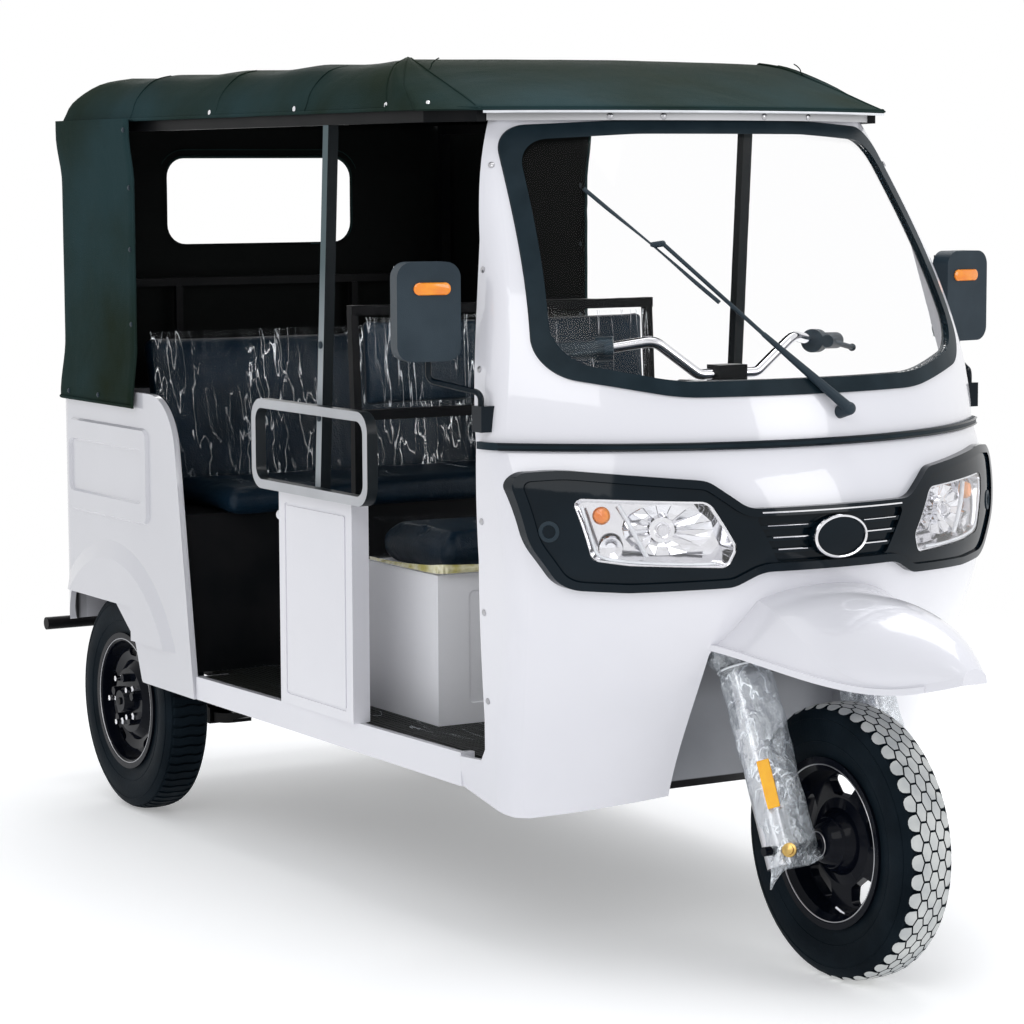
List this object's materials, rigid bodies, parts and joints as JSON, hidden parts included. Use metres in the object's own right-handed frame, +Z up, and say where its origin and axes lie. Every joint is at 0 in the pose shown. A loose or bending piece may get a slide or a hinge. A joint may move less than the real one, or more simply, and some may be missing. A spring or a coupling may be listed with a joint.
{
  "type": "auto rickshaw",
  "caption": "Electric passenger auto rickshaw with a steered front wheel, a pressed cab with a curved windscreen, a driver seat, a rear bench and a folding-frame cloth hood.",
  "frame": {"origin": "on the ground under the middle of the overall box", "axes": "+X to the vehicle's left, +Y to its rear, +Z up"},
  "size_m": [1.4336, 3.024, 1.779],
  "materials": {
    "white_paint": "gloss",
    "hood_cloth": "coated cloth",
    "black_frame": "satin",
    "grey_tube": "satin",
    "floor_mat": "ribbed",
    "seal_rubber": "satin",
    "window_glass": "clear",
    "gloss_black": "gloss",
    "lamp_chrome": "mirror",
    "lens_clear": "clear",
    "seat_leather": "film wrapped",
    "dark_plastic": "fine grain",
    "mirror_silver": "mirror",
    "tyre_rubber": "moulded",
    "wheel_black": "gloss",
    "fork_silver": "polished",
    "bar_chrome": "polished",
    "axle_steel": "machined",
    "lamp_red": "gloss",
    "motor_alloy": "cast",
    "battery_case": "moulded"
  },
  "bodies": {
    "vehicle": {"backrest_frame": "black_frame", "battery_pack": "battery_case", "cab_header": "white_paint", "cab_lower_shell": "white_paint", "cab_upper_shell": "white_paint", "chassis_frame": "black_frame", "dashboard": "dark_plastic", "drive_motor": "motor_alloy", "driver_backrest": "seat_leather", "driver_seat_box": "white_paint", "driver_seat_cushion": "seat_leather", "floor_pan": "floor_mat", "foot_brake": "black_frame", "front_mudguard": "white_paint", "grab_hoops": "grey_tube", "grille": "gloss_black", "headlamp_bowls": "lamp_chrome", "headlamp_lenses": "lens_clear", "headstock": "black_frame", "hood": "hood_cloth", "hood_curtain": "hood_cloth", "hood_frame": "black_frame", "lamp_mask": "gloss_black", "leaf_springs": "black_frame", "mirror_arms": "dark_plastic", "mirror_glasses": "mirror_silver", "mirror_housings": "dark_plastic", "pillar_boxes": "white_paint", "rear_axle": "black_frame", "rear_bumper": "black_frame", "rear_seat_back": "seat_leather", "rear_seat_cushion": "seat_leather", "rear_side_panels": "white_paint", "rear_tub": "black_frame", "side_pillars": "grey_tube", "side_sills": "white_paint", "tail_lamps": "lamp_red", "tail_panel": "white_paint", "waist_moulding": "seal_rubber", "wheel_well_liner": "white_paint", "windscreen_glass": "window_glass", "windscreen_seal": "seal_rubber", "wiper": "dark_plastic"},
    "steering": {"fork_legs": "fork_silver", "fork_yoke": "black_frame", "front_axle": "axle_steel", "handlebar": "bar_chrome", "handlebar_controls": "dark_plastic"},
    "front_wheel": {"front_tyre": "tyre_rubber", "front_rim": "wheel_black"},
    "rear_wheel_left": {"rear_tyre_left": "tyre_rubber", "rear_rim_left": "wheel_black"},
    "rear_wheel_right": {"rear_tyre_right": "tyre_rubber", "rear_rim_right": "wheel_black"}
  },
  "joints": [
    {"name": "steering_turn", "type": "hinge", "parent": "vehicle", "child": "steering", "pos_m": [0, -1.12, 0.267], "axis": [0, 0.4147, 0.91], "range_deg": [-38, 38]},
    {"name": "front_wheel_spin", "type": "hinge", "parent": "steering", "child": "front_wheel", "pos_m": [0, -1.138, 0.267], "axis": [1, 0, 0], "continuous": true},
    {"name": "rear_left_spin", "type": "hinge", "parent": "vehicle", "child": "rear_wheel_left", "pos_m": [0.483, 1.062, 0.267], "axis": [1, 0, 0], "continuous": true},
    {"name": "rear_right_spin", "type": "hinge", "parent": "vehicle", "child": "rear_wheel_right", "pos_m": [-0.483, 1.062, 0.267], "axis": [1, 0, 0], "continuous": true}
  ]
}
